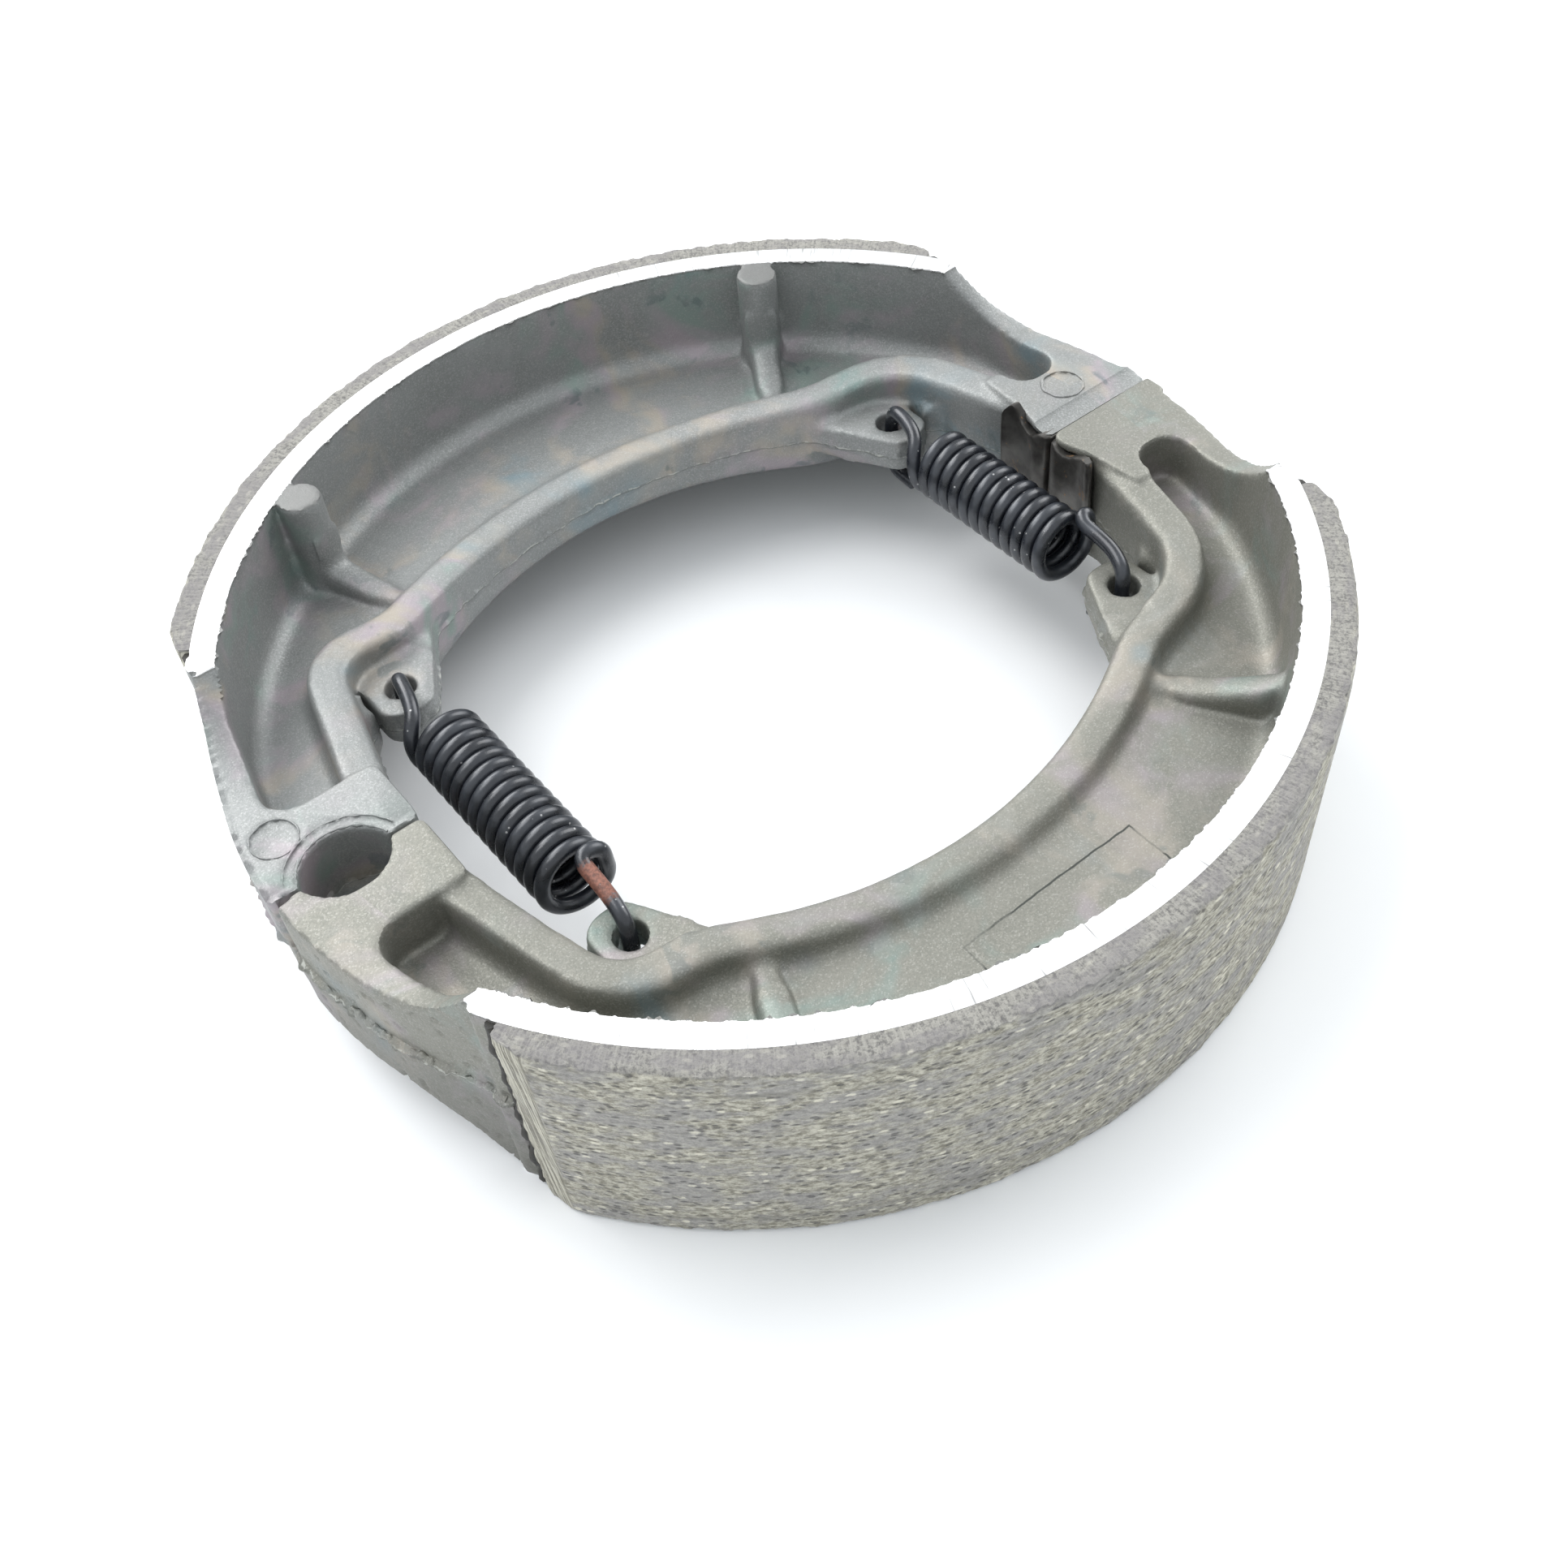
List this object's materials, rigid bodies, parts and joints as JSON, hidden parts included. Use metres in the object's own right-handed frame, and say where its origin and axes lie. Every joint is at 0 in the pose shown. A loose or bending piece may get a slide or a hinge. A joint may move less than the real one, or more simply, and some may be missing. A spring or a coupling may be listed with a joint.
{
  "type": "drum brake shoe pair",
  "caption": "Pair of cast drum brake shoes with bonded friction linings, cam clips and return springs.",
  "frame": {"origin": "on the surface the pair rests on, at the axis of the drum, with both shoes closed", "axes": "+Z along the drum axis, +X towards the cam end, -X towards the anchor pin, +Y towards the leading shoe"},
  "size_m": [0.1042, 0.1072, 0.025],
  "materials": {
    "cast_aluminium": "as-cast, matte, rims machined",
    "friction_lining": "moulded friction composite, ground",
    "spring_steel": "blackened wire",
    "clip_steel": "dark sheet with light rust"
  },
  "bodies": {
    "trailing": {"trailing_shoe": "cast_aluminium", "trailing_lining": "friction_lining", "trailing_cam_clip": "clip_steel", "anchor_end_spring": "spring_steel", "cam_end_spring": "spring_steel"},
    "leading": {"leading_shoe": "cast_aluminium", "leading_lining": "friction_lining", "leading_cam_clip": "clip_steel"}
  },
  "joints": [
    {"name": "shoe_spread", "type": "hinge", "parent": "trailing", "child": "leading", "pos_m": [-0.0495, 0, 0.0125], "axis": [0, 0, 1], "range_deg": [0, 5], "stiffness_Nm_per_rad": 12, "springref_deg": -8.59, "deforming": ["anchor_end_spring", "cam_end_spring"]}
  ]
}
